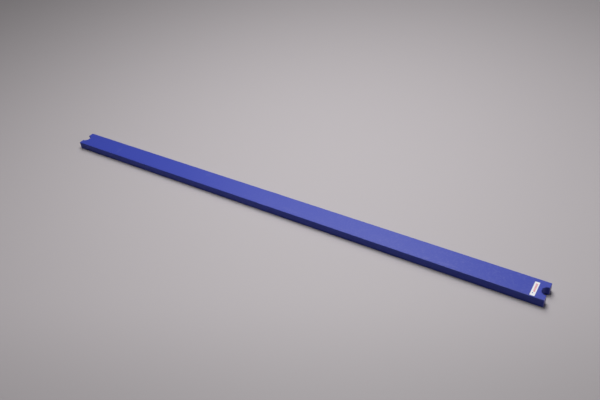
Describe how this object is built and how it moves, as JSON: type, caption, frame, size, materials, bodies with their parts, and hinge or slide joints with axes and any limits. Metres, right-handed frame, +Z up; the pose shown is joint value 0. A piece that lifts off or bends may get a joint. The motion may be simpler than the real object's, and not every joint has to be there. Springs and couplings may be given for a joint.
{
  "type": "take-off board insert slat",
  "caption": "Painted wooden slat with a round-bottomed finger notch in each end and a small label, which fills the slot of a long jump take-off board.",
  "frame": {"origin": "middle of the slat's underside", "axes": "+X along the slat towards the labelled end, +Y across it, +Z up out of the top face"},
  "size_m": [1.22, 0.047, 0.019],
  "materials": {
    "painted_wood": "matt ultramarine paint, rolled on, over planed wood",
    "white_vinyl": null
  },
  "bodies": {
    "root": {"insert_slat": "painted_wood", "vinyl_label": "white_vinyl"}
  },
  "joints": []
}
